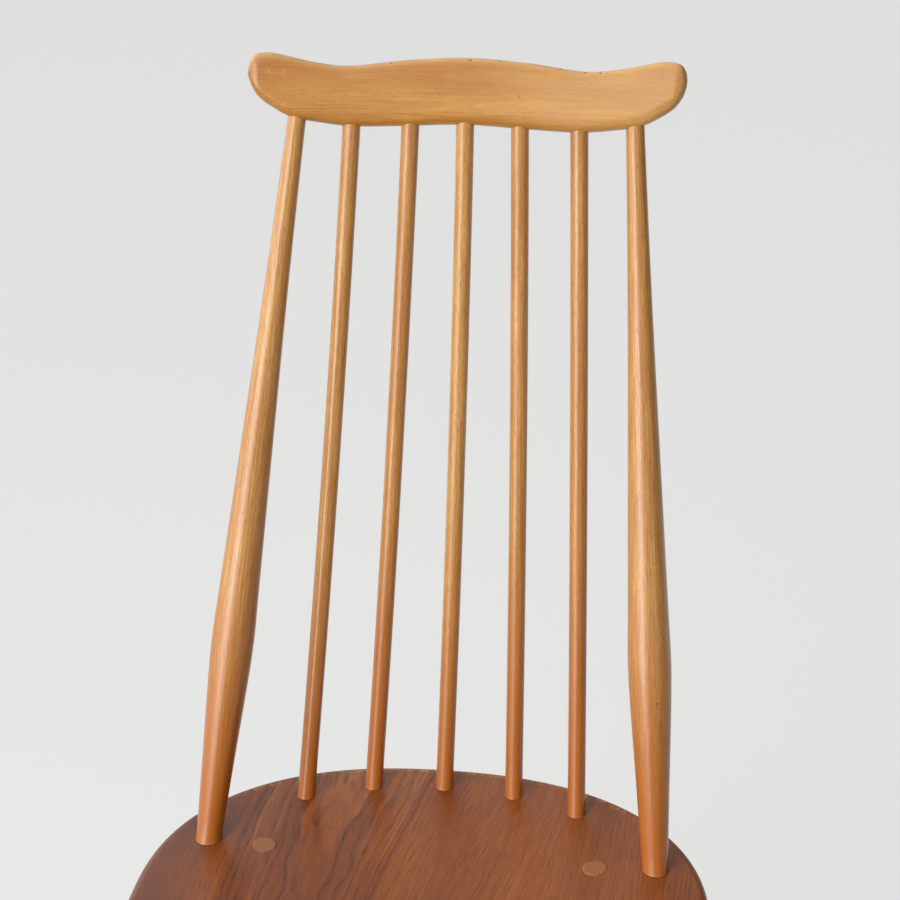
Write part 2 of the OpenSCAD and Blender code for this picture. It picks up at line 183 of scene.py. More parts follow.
class Stick:
    """The centre line and radii of a round CAD stick, read off its vertices. The line is a
    polynomial of the given degree along the axis: 1 for a straight stick, 2 for a bent one."""

    def __init__(self, node, degree=1):
        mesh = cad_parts[node].data
        flat = np.empty(len(mesh.vertices) * 3, np.float32)
        mesh.vertices.foreach_get("co", flat)
        points = np.unique(np.round(flat.reshape(-1, 3).astype(float), 6), axis=0)
        self.middle = points.mean(0)
        axis = np.linalg.svd(points - self.middle, full_matrices=False)[2][0]
        for _ in range(AXIS_ROUNDS):
            self.axis = axis * np.sign(axis[np.abs(axis).argmax()])
            self.first, self.second = cross_axes(self.axis)
            t = (points - self.middle) @ self.axis
            order = np.argsort(t)
            parts = np.split(order, np.where(np.diff(t[order]) > RING_GAP)[0] + 1)
            rings = [points[p] for p in parts if len(p) >= RING_POINTS]
            centres = np.array([r.mean(0) for r in rings]) - self.middle
            along = centres @ self.axis
            keep = np.ones(len(along), bool)
            for _ in range(FIT_ROUNDS):
                fit_1 = np.polyfit(along[keep], (centres @ self.first)[keep], degree)
                fit_2 = np.polyfit(along[keep], (centres @ self.second)[keep], degree)
                off = np.hypot(centres @ self.first - np.polyval(fit_1, along),
                               centres @ self.second - np.polyval(fit_2, along))
                keep = off <= max(FIT_OFF * np.median(off), FIT_CLOSE)
            if degree > 1:
                break
            axis = self.axis + self.first * fit_1[0] + self.second * fit_2[0]
            axis /= np.linalg.norm(axis)
        self.fit_1, self.fit_2 = fit_1, fit_2
        self.low, self.high = t.min(), t.max()
        self.at = along
        self.radii = np.array([np.median(np.linalg.norm(r - self.centre(a), axis=1))
                               for r, a in zip(rings, along)])

    def centre(self, t):
        """The point of the centre line at t along the axis."""
        return (self.middle + self.axis * t + self.first * np.polyval(self.fit_1, t)
                + self.second * np.polyval(self.fit_2, t))

    def radius(self, t):
        """The radius at t along the axis."""
        return np.interp(t, self.at, self.radii)

    def ring(self, t, shrink=0.0):
        """Points round the stick at t along the axis, its radius less shrink."""
        angle = np.linspace(0, 2 * math.pi, ROUND_STEPS, endpoint=False)
        r = self.radius(t) - shrink
        return self.centre(t) + r * (np.outer(np.cos(angle), self.first)
                                     + np.outer(np.sin(angle), self.second))

    def stations(self, low, high):
        """Even places along the axis for the rings between two ends."""
        return np.linspace(low, high, max(2, int(round((high - low) / STICK_STEP)) + 1))

    def grain(self, rings, seed):
        """Wood coordinates: two across and one along, each stick in its own bit of the tree."""
        rng = np.random.default_rng(seed)
        turn, away = rng.uniform(0, 2 * math.pi), rng.uniform(PITH_NEAR, PITH_FAR)
        drift = rng.uniform(-PITH_DRIFT, PITH_DRIFT)
        d = rings - self.middle
        t = d @ self.axis
        bow = np.polyval(self.fit_1, t), np.polyval(self.fit_2, t)
        x, y = d @ self.first - bow[0], d @ self.second - bow[1]
        across = x * math.cos(turn) - y * math.sin(turn), x * math.sin(turn) + y * math.cos(turn)
        return np.stack([across[0] + away + drift * t, across[1],
                         t + rng.uniform(0, TREE_LENGTH)], -1)


def onto(ring, axis, height):
    """Slides a ring's points along the axis until each is at the height of its place."""
    out = ring.copy()
    for _ in range(SLIDE_ROUNDS):
        gap = height(out[:, 0], out[:, 1]) - out[:, 2]
        out += np.outer(gap / axis[2], axis)
    return out


# ---- Seat ----------------------------------------------------------------

SEAT_LOW, SEAT_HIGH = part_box("seat")
SEAT_HALF = (SEAT_HIGH.x - SEAT_LOW.x) / 2
SEAT_DEPTH = SEAT_HIGH.y - SEAT_LOW.y
SEAT_MID_Y = SEAT_HIGH.y - SEAT_BACK_DEPTH
SEAT_FRONT_DEPTH = SEAT_DEPTH - SEAT_BACK_DEPTH


def outline(angle):
    """Points and outward normals of the seat's outline about its widest line."""
    back = np.sin(angle) >= 0
    n = np.where(back, SEAT_BACK_ROUND, SEAT_FRONT_ROUND)
    b = np.where(back, SEAT_BACK_DEPTH, SEAT_FRONT_DEPTH)
    c, s = np.cos(angle), np.sin(angle)
    r = ((np.abs(c) / SEAT_HALF) ** n + (np.abs(s) / b) ** n) ** (-1 / n)
    x, y = r * c, r * s
    nx = np.sign(x) * (np.abs(x) / SEAT_HALF) ** (n - 1) / SEAT_HALF
    ny = np.sign(y) * (np.abs(y) / b) ** (n - 1) / b
    size = np.hypot(nx, ny)
    return np.stack([x, y], -1), np.stack([nx / size, ny / size], -1)


def seat_plane(y):
    """Height of the seat's flat rim, before the height of the whole is set by the CAD box."""
    return -(y - SEAT_LOW.y) * math.tan(SEAT_FALL)


SEAT_LIFT = SEAT_HIGH.z - seat_plane(SEAT_LOW.y + SEAT_TOP_ROUND * (1 - math.sin(SEAT_FALL)))
SEAT_LIFT += SEAT_TOP_ROUND * (1 - math.cos(SEAT_FALL))


def dish(x, y):
    """Depth of the seat's dish at a place."""
    half_w, half_d = SEAT_HALF - DISH_RIM, SEAT_DEPTH / 2 - DISH_RIM
    q = (x / half_w) ** 2 + ((y - (SEAT_LOW.y + SEAT_HIGH.y) / 2) / half_d) ** 2
    return DISH_DEPTH * np.maximum(0, 1 - q) ** 2


def seat_rings():
    """Rings of the seat from the middle of its top to the middle of its underside, and
    for each point the distance from the line that wears, where the upper edge begins to turn."""
    angle = np.linspace(0, 2 * math.pi, SEAT_AROUND, endpoint=False)
    edge, normal = outline(angle)

    def ring(share, inset, drop, dished):
        """The outline drawn in by inset, then scaled to share, at drop below the upper face."""
        p = (edge - inset * normal) * share
        x, y = p[:, 0], p[:, 1] + SEAT_MID_Y
        z = SEAT_LIFT + seat_plane(y) - drop - (dish(x, y) if dished else 0)
        return np.stack([x, y, z], -1)

    shares = np.linspace(0.02, 1, SEAT_TOP_RINGS)
    rings = [ring(s, SEAT_TOP_ROUND, 0, True) for s in shares]
    rims = [(1 - s) * SEAT_HALF for s in shares]
    for a in np.radians(np.linspace(0, 90, SEAT_TOP_EDGE_RINGS))[1:]:
        rings.append(ring(1, SEAT_TOP_ROUND * (1 - math.sin(a)),
                          SEAT_TOP_ROUND * (1 - math.cos(a)), False))
        rims.append(a * SEAT_TOP_ROUND)
    for a in np.radians(np.linspace(0, 90, SEAT_LOW_EDGE_RINGS)):
        rings.append(ring(1, SEAT_LOW_ROUND * (1 - math.cos(a)),
                          SEAT_THICK - SEAT_LOW_ROUND * (1 - math.sin(a)), False))
        rims.append(SEAT_THICK)
    shares = np.linspace(0.96, 0.04, SEAT_UNDER_RINGS)
    rings += [ring(s, SEAT_LOW_ROUND, SEAT_THICK, False) for s in shares]
    rims += [SEAT_THICK] * len(shares)
    rings = np.array(rings)
    return rings, np.repeat(np.array(rims)[:, None], rings.shape[1], 1)


def seat_top(x, y):
    """Height of the seat's upper face, away from its rounded edge."""
    return SEAT_LIFT + seat_plane(y) - dish(x, y)


# ---- Crest rail ----------------------------------------------------------

CREST_LOW, CREST_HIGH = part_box("crest_rail")
CREST_HALF = (CREST_HIGH.x - CREST_LOW.x) / 2


def crest_row(k):
    """Row k of CREST_ROWS, mirrored before its first and repeated after its last."""
    if k < 0:
        return CREST_ROWS[-k] * [-1, 1, -1, 1]
    return CREST_ROWS[min(k, len(CREST_ROWS) - 1)]


def crest_pair(u):
    """Upper and lower point of the crest's outline at row u, which may lie between two rows and
    is negative left of the middle: each x, and s up the crest's face, in metres."""
    k = min(int(abs(u)), len(CREST_ROWS) - 2)
    t = abs(u) - k
    a, b, c, d = (crest_row(k + i) for i in (-1, 0, 1, 2))
    r = 0.5 * (2 * b + (c - a) * t + (2 * a - 5 * b + 4 * c - d) * t ** 2
               + (3 * b - a - 3 * c + d) * t ** 3)
    side = -1 if u < 0 else 1
    return (np.array([side * r[0] * CREST_HALF, r[1] * CREST_HEIGHT]),
            np.array([side * r[2] * CREST_HALF, r[3] * CREST_HEIGHT]))


def crest_rings():
    """Rings of the crest, their coordinates in the wood and their distances from the top edge."""
    rings, rims = [], []
    last = len(CREST_ROWS) - 1
    for u in np.linspace(-last, last, CREST_RINGS):
        top, low = crest_pair(u)
        height = np.linalg.norm(top - low)
        # Half the thickness, which falls to the tips with the same rounding as at the edges.
        d = min(1, (CREST_HALF - abs((top[0] + low[0]) / 2)) / CREST_ROLL)
        half = CREST_THICK / 2 - CREST_ROLL_DEPTH * (1 - math.sqrt(1 - (1 - d) ** 2))
        r_v, r_h = min(CREST_ROLL_DEPTH, half), min(CREST_ROLL, height / 2)
        across = []  # points round the section: v through the crest and h up it
        for corner in range(4):
            for a in np.radians(270 - 90 * corner - np.linspace(0, 90, CREST_CORNER_STEPS)):
                across.append(((r_v - half if corner < 2 else half - r_v) + r_v * math.cos(a),
                               (r_h if corner in (0, 3) else height - r_h) + r_h * math.sin(a)))
            if corner in (0, 2):  # more points up the two faces
                ends = (r_h, height - r_h) if corner == 0 else (height - r_h, r_h)
                face = -half if corner == 0 else half
                across += [(face, h) for h in np.linspace(*ends, CREST_FACE_STEPS)[1:-1]]
        rings.append([[*(low + (top - low) * h / height), v] for v, h in across])
        rims.append([height - h + max(0, v) for v, h in across])
    flat = np.array(rings)
    x, s, v = flat[..., 0], flat[..., 1], flat[..., 2]
    placed = np.stack([
        x,
        s * math.sin(CREST_LEAN) + v * math.cos(CREST_LEAN) - x ** 2 / (2 * CREST_CURVE),
        s * math.cos(CREST_LEAN) - v * math.sin(CREST_LEAN)], -1)
    middle = (placed.reshape(-1, 3).min(0) + placed.reshape(-1, 3).max(0)) / 2
    placed += np.array((CREST_LOW + CREST_HIGH) / 2) - middle
    return placed, np.stack([s, v, x], -1), np.array(rims)


# ---- Materials -----------------------------------------------------------

class Shader:
    """The node tree of a material or a world, built in a few words."""

    def __init__(self, owner):
        owner.use_nodes = True
        self.owner = owner
        self.tree = owner.node_tree
        self.bsdf = self.tree.nodes.get("Principled BSDF")

    def node(self, kind, inputs=(), **settings):
        made = self.tree.nodes.new(kind)
        for key, value in settings.items():
            setattr(made, key, value)
        for key, value in dict(inputs).items():
            self.feed(made.inputs[key], value)
        return made

    def feed(self, socket, value):
        if isinstance(value, bpy.types.NodeSocket):
            self.tree.links.new(value, socket)
        elif isinstance(value, bpy.types.Node):
            self.tree.links.new(value.outputs[0], socket)
        else:
            socket.default_value = value

    def math(self, operation, a, b=0.0):
        return self.node("ShaderNodeMath", {0: a, 1: b}, operation=operation).outputs[0]

    def vector(self, operation, a, b=(0, 0, 0)):
        made = self.node("ShaderNodeVectorMath", {0: a, 1: b}, operation=operation)
        return made.outputs["Value" if operation == "LENGTH" else "Vector"]

    def noise(self, vector, scale, detail=2.0, rough=0.5):
        return self.node("ShaderNodeTexNoise", {
            "Vector": vector, "Scale": scale, "Detail": detail, "Roughness": rough}).outputs["Fac"]

    def stretched(self, vector, scales, detail=2.0, rough=0.5):
        """Noise with its own number of bumps per metre along each axis."""
        return self.noise(self.vector("MULTIPLY", vector, scales), 1.0, detail, rough)

    def band(self, value, low, high, start=0.0, end=1.0):
        """A smooth step of a value from start to end."""
        return self.node("ShaderNodeMapRange", {
            "Value": value, "From Min": low, "From Max": high, "To Min": start, "To Max": end},
            interpolation_type="SMOOTHSTEP").outputs[0]

    def mix(self, share, a, b, blend="MIX"):
        """Colour a blended with b. The node's colour sockets are inputs 6 and 7 and output 2."""
        made = self.node("ShaderNodeMix", data_type="RGBA", blend_type=blend)
        self.feed(made.inputs[0], share)
        self.feed(made.inputs[6], a)
        self.feed(made.inputs[7], b)
        return made.outputs[2]

    def split(self, vector):
        return self.node("ShaderNodeSeparateXYZ", {0: vector}).outputs

    def join(self, x, y, z):
        return self.node("ShaderNodeCombineXYZ", {0: x, 1: y, 2: z}).outputs[0]

    def attribute(self, name, output):
        return self.node("ShaderNodeAttribute", attribute_name=name).outputs[output]

    def spot(self, vector, centre, half, turn=(0, 0, 0), core=0.5):
        """1 in the core of an ellipsoid, falling to 0 at its surface."""
        placed = self.node("ShaderNodeMapping", {
            "Vector": vector, "Location": centre, "Rotation": turn, "Scale": half},
            vector_type="TEXTURE")
        return self.band(self.vector("LENGTH", placed), core, 1.0, 1.0, 0.0)

    def bump(self, height, distance):
        """Height for the wood and for the lacquer over it."""
        made = self.node("ShaderNodeBump", {"Height": height, "Distance": distance, "Strength": 1.0})
        for socket in ("Normal", "Coat Normal"):
            self.feed(self.bsdf.inputs[socket], made.outputs[0])

    def set(self, **sockets):
        """Values and links of the shader's sockets, with _ in place of a blank in their names."""
        for key, value in sockets.items():
            self.feed(self.bsdf.inputs[key.replace("_", " ")], value)


def rgb(r, g, b):
    """A display colour of 0 to 255 as the linear colour that shaders take."""
    def linear(c):
        c /= 255
        return c / 12.92 if c <= 0.04045 else ((c + 0.055) / 1.055) ** 2.4
    return (linear(r), linear(g), linear(b), 1.0)


# ---- Woods, their wear and painted light ---------------------------------

BEECH_PALE = rgb(217, 167, 94)
BEECH_GLINT = rgb(232, 186, 104)
BEECH_MID = rgb(191, 128, 59)
BEECH_LOW = rgb(174, 92, 12)
BEECH_DEEP = rgb(160, 92, 34)
BEECH_FLECK = rgb(116, 62, 24)
# Pale wear, and the crest's painted sheen and painted top-edge highlight.
BEECH_WEAR_AND_SHEEN = rgb(236, 190, 128)
CREST_TINT = (1.06, 1.04, 0.46, 1)  # the crest's beech is yellower than the sticks'
ELM_GOLD = rgb(176, 110, 50)
ELM_PALE = rgb(156, 85, 30)
ELM_MID = rgb(138, 70, 24)
ELM_DARK = rgb(94, 48, 26)
# Painted shade on the seat's back left.
ELM_SHADE = rgb(82, 50, 38)
ELM_PORE = rgb(62, 30, 18)
# Pale wear and painted rim highlight on the seat's back edge.
ELM_WEAR_AND_HIGHLIGHT = rgb(196, 140, 96)
TENON_LEFT = rgb(146, 84, 28)
TENON_RIGHT = rgb(158, 94, 30)

LEG_WARMTH = 0.35  # share of BEECH_LOW over the legs and stretchers

# Lengths in metres.
BEECH_RING = 0.0026  # between two growth rings
BEECH_WANDER = 0.012  # how far the rings wander
BEECH_RELIEF = 0.00006  # height of the bump
ELM_RING = 0.0029
ELM_WANDER = 0.012
ELM_WAVE = 0.010  # how far the rings wave in the figured part of the seat
ELM_RELIEF = 0.00008
HEART_X = -0.086  # middle of the figured part
HEART_ROUND = 0.065  # how far from it the turn of the rings reaches
HEART_EDGES = (0.035, 0.080)  # distance from it over which the figure fades

# Places of wear in mm. On the crest: x along it and s up its face, and a scratch's turn.
CREST_NICKS = [(-55, 43), (3, 46), (25, 46.5), (47, 45), (69, 42), (87, 40), (98, 40)]
CREST_SCRATCHES = [(-144, 37, 0.5), (-133, 36, -0.35)]
CREST_MARK = (40, 21)
POST_MARK = (160, 50, 544)  # a dark speck on the right post: x, y and z
SEAT_MARKS = [(83, 58), (-45, 111)]  # short dark marks: x and y
# Painted contact shade in the seat round each stick, over a dark joint line: how far it reaches, and
# how strong it is.
JOINT_LINE_AND_SHADE = (0.5 * MM, 0.45)
SHADE_HALO = (2.2 * MM, 0.25)  # only round the sticks of the back


def beech(name, shift=(0, 0, 0), rings=0.22, flecks=0.32, depth=0.0, coat=(0.85, 0.20), extra=None):
    """Beech under clear lacquer: faint rings, streaks and short dark flecks along the grain. The
    coat is the lacquer's weight and roughness, and extra adds what marks this piece, painted light
    included where the piece has some."""
    s = Shader(bpy.data.materials.new(name))
    own = s.attribute("grain", "Vector")
    grain = s.vector("ADD", own, shift)
    x, y, _ = s.split(grain)
    wander = s.stretched(grain, (9, 9, 2.2))
    pith = s.math("SQRT", s.math("ADD", s.math("MULTIPLY", x, x), s.math("MULTIPLY", y, y)))
    pith = s.math("ADD", pith, s.math("MULTIPLY", wander, BEECH_WANDER))
    late = s.band(s.math("FRACT", s.math("MULTIPLY", pith, 1 / BEECH_RING)), 0.55, 0.98)
    streak = s.stretched(grain, (900, 900, 16), 3, 0.6)
    cloud = s.stretched(grain, (60, 60, 7), 3, 0.55)
    fleck = s.band(s.stretched(grain, (1500, 1500, 260), 1), 0.60, 0.72)
    fibre = s.stretched(grain, (1300, 1300, 130), 3, 0.7)
    age = s.math("ADD", cloud, s.attribute("tone", "Fac"))
    tone = s.mix(s.band(age, 0.3, 1.2), BEECH_PALE, BEECH_MID)
    tone = s.mix(s.band(streak, 0.50, 0.28, 0.0, 0.55), tone, BEECH_GLINT)
    tone = s.mix(s.band(fibre, 0.44, 0.70, 0.0, 0.55), tone, BEECH_DEEP)
    tone = s.mix(s.band(cloud, 0.25, 0.75, 0.5 * depth, 1.5 * depth), tone, BEECH_DEEP)
    tone = s.mix(s.math("MULTIPLY", late, rings), tone, BEECH_DEEP)
    tone = s.mix(s.band(streak, 0.46, 0.74, 0.0, 0.50), tone, BEECH_DEEP)
    tone = s.mix(s.math("MULTIPLY", fleck, flecks), tone, BEECH_FLECK)
    if extra:
        tone = extra(s, own, tone)
    s.set(Base_Color=tone, Specular_IOR_Level=0.30, Coat_Weight=coat[0], Coat_Roughness=coat[1],
          Coat_IOR=1.5, Roughness=s.band(cloud, 0.2, 0.8, 0.42, 0.52))
    relief = s.math("SUBTRACT", s.math("MULTIPLY", streak, 0.5), s.math("MULTIPLY", fleck, 0.6))
    s.bump(relief, BEECH_RELIEF)
    return s.owner


def crest_wear_and_painted_light(s, grain, tone):
    """Yellower wood; a painted sheen that makes it paler to the right, a painted highlight along the
    top edge, and painted shade that makes it darker to the left; nicks and chips on the front top
    edge, a patchy pale rub there that is partly wear and partly painted highlight, scratches near the
    left end, and a mark."""
    front = -CREST_THICK / 2
    along = s.split(grain)[2]
    tone = s.mix(1.0, tone, CREST_TINT, "MULTIPLY")
    # Painted sheen: paler towards the right end.
    tone = s.mix(s.band(along, -0.01, 0.10, 0.0, 0.24), tone, BEECH_WEAR_AND_SHEEN)
    # Painted shade: darker towards the left end, where no sheen falls.
    tone = s.mix(s.band(along, -0.13, 0.0, 0.22, 0.0), tone, BEECH_DEEP)
    # Painted highlight: paler along the rounded top edge.
    tone = s.mix(s.band(s.attribute("rim", "Fac"), 0.001, 0.010, 0.30, 0.0), tone, BEECH_WEAR_AND_SHEEN)
    # A patchy pale rub along the top edge: partly wear, partly painted highlight.
    edge = s.band(s.attribute("rim", "Fac"), 0.0005, 0.0030, 1.0, 0.0)
    rub_and_highlight = s.stretched(grain, (300, 300, 60), 2, 0.6)
    tone = s.mix(s.math("MULTIPLY", edge, s.band(rub_and_highlight, 0.45, 0.62, 0.0, 0.35)), tone, BEECH_WEAR_AND_SHEEN)
    chip = s.band(s.stretched(grain, (500, 500, 380), 1), 0.64, 0.70)
    chip = s.math("MULTIPLY", chip, s.band(s.math("ABSOLUTE", along), 0.10, 0.13, 0.55, 0.0))
    tone = s.mix(s.math("MULTIPLY", edge, chip), tone, BEECH_FLECK)
    for x, height in CREST_NICKS:
        nick = s.spot(grain, (height * MM, front + 2 * MM, x * MM), (1.1 * MM, 4 * MM, 1.6 * MM))
        tone = s.mix(s.math("MULTIPLY", nick, 0.75), tone, BEECH_FLECK)
    for x, height, turn in CREST_SCRATCHES:
        line = s.spot(grain, (height * MM, front, x * MM), (4.5 * MM, 3 * MM, 0.5 * MM),
                      (0, turn, 0), core=0.2)
        tone = s.mix(s.math("MULTIPLY", line, 0.4), tone, BEECH_WEAR_AND_SHEEN)
    x, height = CREST_MARK
    mark = s.spot(grain, (height * MM, front, x * MM), (1.3 * MM, 3 * MM, 0.9 * MM), (0, 0.5, 0))
    return s.mix(s.math("MULTIPLY", mark, 0.6), tone, BEECH_FLECK)


def stick_wear_and_painted_bounce(s, grain, tone):
    """A painted warm bounce and missing sheen, which make the stick redder low down, a faint pale rim
    at the seat, and the right post's speck.
    """
    # Painted warm bounce and missing sheen: redder low on the stick.
    tone = s.mix(s.band(s.attribute("rim", "Fac"), 0.0, 0.24, 0.90, 0.0), tone, BEECH_LOW)
    foot = s.band(s.attribute("rim", "Fac"), 0.0004, 0.0014, 0.12, 0.0)
    patchy = s.band(s.stretched(grain, (160, 160, 40), 1), 0.35, 0.60)
    tone = s.mix(s.math("MULTIPLY", foot, patchy), tone, BEECH_WEAR_AND_SHEEN)
    place = s.node("ShaderNodeNewGeometry").outputs["Position"]
    mark = s.spot(place, tuple(c * MM for c in POST_MARK), (1.6 * MM, 3 * MM, 1.2 * MM))
    return s.mix(s.math("MULTIPLY", mark, 0.6), tone, BEECH_FLECK)


def leg_ends(s, grain, tone):
    """Warmer wood on the legs, and end grain where they show in the seat: darker on the chair's
    left half, more orange on its right."""
    tone = s.mix(LEG_WARMTH, tone, BEECH_LOW)
    place = s.node("ShaderNodeNewGeometry").outputs["Position"]
    x, _, z = s.split(place)
    pores = s.stretched(place, (420, 420, 0), 3, 0.6)
    face = s.mix(s.band(x, -0.02, 0.02), TENON_LEFT, TENON_RIGHT)
    face = s.mix(s.band(pores, 0.42, 0.66, 0.0, 0.75), face, ELM_MID)
    return s.mix(s.band(z, SEAT_FACE - 20 * MM, SEAT_FACE - 19 * MM), tone, face)


def elm(name):
    """Stained elm under satin lacquer: figured left of the middle, straight and fine elsewhere, with
    painted shade at the back left and along the left side, a pale back rim that is partly painted
    highlight, and painted contact shade round the sticks and leg ends.
    """
    s = Shader(bpy.data.materials.new(name))
    place = s.node("ShaderNodeNewGeometry").outputs["Position"]
    x, y, z = s.split(place)
    # Ring lines run from front to back, and lean to the right towards the back at mid seat.
    lean = s.math("MULTIPLY", s.band(x, -0.09, 0.0, 0.0, 0.21), s.band(x, 0.03, 0.16, 1.0, 0.3))
    line = s.math("SUBTRACT", x, s.math("MULTIPLY", y, lean))
    wander = s.stretched(place, (20, 4, 20))
    wave = s.stretched(place, (42, 9, 42))
    across = s.math("SUBTRACT", line, HEART_X)
    heart = s.math("SQRT", s.math("ADD", s.math("MULTIPLY", across, across), HEART_ROUND ** 2))
    figured = s.band(s.math("ABSOLUTE", across), *HEART_EDGES, 1.0, 0.0)
    heart = s.math("ADD", heart, s.math("MULTIPLY", wander, ELM_WANDER))
    heart = s.math("ADD", heart, s.math("MULTIPLY", s.math("MULTIPLY", wave, figured), ELM_WAVE))
    age = s.math("MULTIPLY", heart, 1 / ELM_RING)
    uneven = s.noise(s.join(s.math("MULTIPLY", age, 0.35), 0.0, 0.0), 1.0, 2, 0.6)
    ring = s.math("FRACT", s.math("ADD", age, s.math("MULTIPLY", uneven, 2.5)))
    early = s.band(ring, 0.02, 0.55, 1.0, 0.0)
    early = s.math("MAXIMUM", early, s.band(ring, 0.90, 1.0, 0.0, 1.0))
    bold = s.band(uneven, 0.40, 0.66, 0.35, 1.0)
    early = s.math("MULTIPLY", early, s.math("MULTIPLY", bold, s.band(figured, 0, 1, 0.32, 0.95)))
    # Pores are short dashes along the ring lines, and fine ones follow the straight grain.
    dashes = s.vector("MULTIPLY", s.join(heart, y, z), (1500, 70, 200))
    pore = s.band(s.noise(dashes, 1.0, 2, 0.6), 0.50, 0.66)
    dashes = s.vector("MULTIPLY", s.join(line, y, z), (1050, 36, 300))
    fine = s.band(s.noise(dashes, 1.0, 2, 0.6), 0.46, 0.66)
    cloud = s.stretched(place, (22, 5, 22), 3, 0.55)
    # Painted shade: darker patches at the left of the back rim and along the left side.
    back = s.spot(place, (-0.105, 0.14, SEAT_FACE), (0.060, 0.050, 0.1), core=0.1)
    side = s.spot(place, (-0.18, 0.05, SEAT_FACE), (0.045, 0.080, 0.1), core=0.1)
    painted_shade = s.math("MAXIMUM", back, side)
    tone = s.mix(s.band(cloud, 0.32, 0.66), ELM_PALE, ELM_MID)
    broad = s.noise(s.join(s.math("MULTIPLY", heart, 170), s.math("MULTIPLY", y, 4), 0.0), 1.0, 1, 0.5)
    dark = s.math("MULTIPLY", s.band(broad, 0.42, 0.62), s.band(figured, 0, 1, 0.10, 0.42))
    tone = s.mix(dark, tone, ELM_DARK)
    gold = s.math("MULTIPLY", s.band(broad, 0.47, 0.33), s.band(figured, 0, 1, 0.10, 0.60))
    tone = s.mix(gold, tone, ELM_GOLD)
    tone = s.mix(early, tone, ELM_DARK)
    tone = s.mix(s.math("MULTIPLY", pore, s.band(early, 0.0, 0.7, 0.22, 0.70)), tone, ELM_PORE)
    tone = s.mix(s.math("MULTIPLY", fine, 0.46), tone, ELM_DARK)
    # Painted shade laid over the patches above.
    tone = s.mix(s.math("MULTIPLY", painted_shade, 0.85), tone, ELM_SHADE)
    # Painted shade: darker along the seat's left side.
    tone = s.mix(s.band(x, -0.20, -0.13, 0.70, 0.0), tone, ELM_DARK)
    # A pale line on the rim at the back, partly wear and partly painted highlight; a dark joint line
    # and painted contact shade round each stick and leg end; two marks.
    rim = s.band(s.attribute("rim", "Fac"), 0.0012, 0.0036, 1.0, 0.0)
    rub_and_highlight = s.band(s.stretched(place, (160, 160, 60), 3, 0.65), 0.46, 0.60)
    rub_and_highlight = s.math("MULTIPLY", s.math("MULTIPLY", rim, rub_and_highlight), s.band(y, 0.02, 0.12, 0.05, 0.60))
    tone = s.mix(rub_and_highlight, tone, ELM_WEAR_AND_HIGHLIGHT)
    # Painted contact shade round each stick and leg end, over a dark joint line.
    for stick in [*BACK.values(), *TURNED.values()]:
        foot, radius = seat_crossing(stick)
        turn = math.atan2(stick.axis[1], stick.axis[0])
        for wide, share in [JOINT_LINE_AND_SHADE, SHADE_HALO] if stick in BACK.values() else [JOINT_LINE_AND_SHADE]:
            reach = radius + wide
            joint_shade = s.spot(place, foot, (reach / abs(stick.axis[2]), reach, 0.02), (0, 0, turn),
                          core=(radius - 0.2 * MM) / reach)
            tone = s.mix(s.math("MULTIPLY", joint_shade, share), tone, ELM_PORE)
    for x_mark, y_mark in SEAT_MARKS:
        mark = s.spot(place, (x_mark * MM, y_mark * MM, SEAT_FACE), (0.8 * MM, 2.6 * MM, 0.02),
                      (0, 0, -0.4))
        tone = s.mix(s.math("MULTIPLY", mark, 0.55), tone, ELM_PORE)
    s.set(Base_Color=tone, Specular_IOR_Level=0.20, Coat_Weight=0.30, Coat_Roughness=0.24,
          Roughness=s.band(cloud, 0.2, 0.8, 0.40, 0.50))
    s.bump(s.math("MULTIPLY", s.math("ADD", pore, early), -0.5), ELM_RELIEF)
    return s.owner


# ---- The chair -----------------------------------------------------------

BACK = {node: Stick(node, 2) for node in SPINDLES} | {node: Stick(node) for node in POSTS}
TURNED = {node: Stick(node) for node in LEGS}
SEAT_FACE = float(seat_top(0.0, 0.0))


def seat_crossing(stick):
    """Where a stick's centre line meets the seat's upper face, and its radius there."""
    t = (SEAT_FACE - stick.middle[2]) / stick.axis[2]
    for _ in range(CROSS_ROUNDS):
        point = stick.centre(t)
        t += float(seat_top(point[0], point[1]) - point[2]) / stick.axis[2]
    return tuple(stick.centre(t)), float(stick.radius(t))


def make_stick(stick, node, material, seed, tone):
    """A stick of the back or a stretcher; rim is its height above the seat."""
    rings = np.array([stick.ring(t) for t in stick.stations(stick.low, stick.high)])
    over_seat = rings[..., 2] - seat_top(rings[..., 0], rings[..., 1])
    skin("stick_" + node, rings, stick.grain(rings, seed), material, node, over_seat, tone)


def make_leg(stick, node, material, seed):
    """A leg with its foot cut level with the floor and its tenon level with the seat's face; rim
    is the height above the floor."""
    low, high = stick.low + FOOT_CUT, stick.high - TENON_CUT
    rings = []
    for lift, loss in FOOT_RINGS:
        ring = stick.ring(low, loss * FOOT_WEAR)
        rings.append(onto(ring, stick.axis, lambda x, y: lift * FOOT_WEAR))
    rings += [stick.ring(t) for t in stick.stations(low, high)]
    for drop, share in TENON_RINGS:
        ring = stick.centre(high) + (stick.ring(high) - stick.centre(high)) * share
        rings.append(onto(ring, stick.axis, lambda x, y: seat_top(x, y) + TENON_PROUD - drop * MM))
    rings = np.array(rings)
    skin("turned_" + node, rings, stick.grain(rings, seed), material, node, rings[..., 2])


